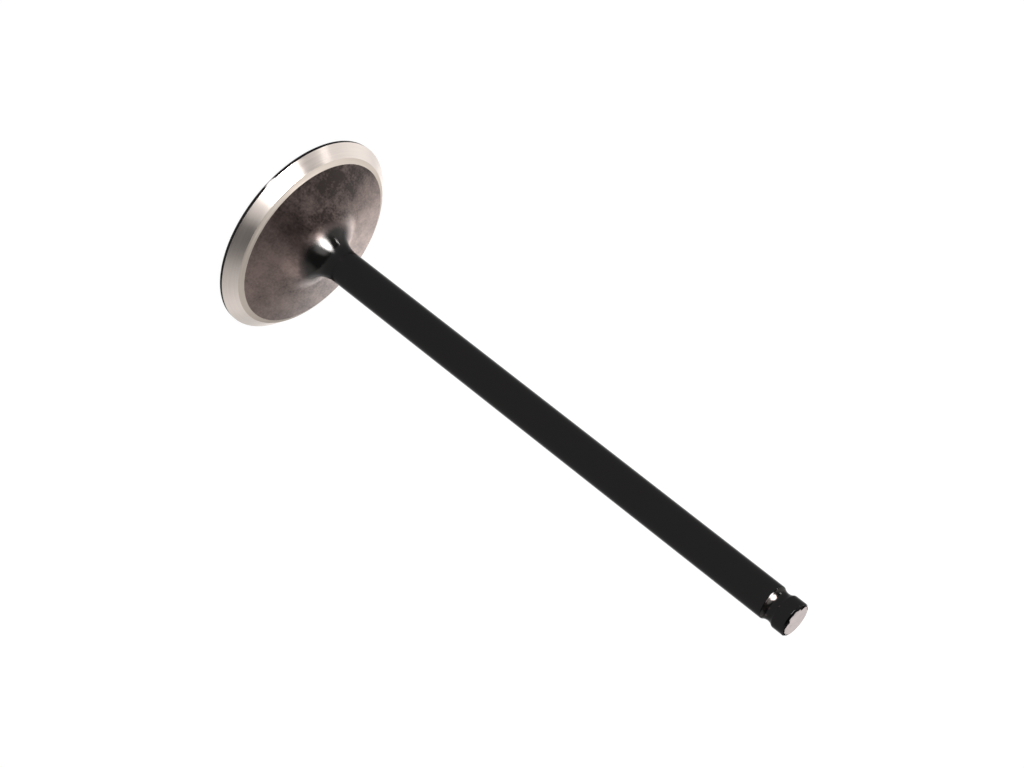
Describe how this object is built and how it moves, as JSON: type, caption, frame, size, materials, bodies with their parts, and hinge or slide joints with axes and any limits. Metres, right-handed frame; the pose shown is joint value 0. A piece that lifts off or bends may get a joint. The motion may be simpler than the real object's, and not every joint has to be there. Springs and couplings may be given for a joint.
{
  "type": "engine valve",
  "caption": "Poppet valve: disc head with a ground conical seat, filleted neck and long round stem with a keeper groove near the tip; it opens and seals an engine port.",
  "frame": {"origin": "centre of the combustion face, the lowest face, on which the valve stands", "axes": "+Z along the stem, from the head to the tip; X and Y lie in the combustion face"},
  "size_m": [0.0335, 0.0334, 0.1011],
  "materials": {
    "valve_steel": "black nitrided steel, polished on the stem and satin under the head, with the seat, back-cut and tip ground bright"
  },
  "bodies": {
    "root": {"valve": "valve_steel"}
  },
  "joints": []
}
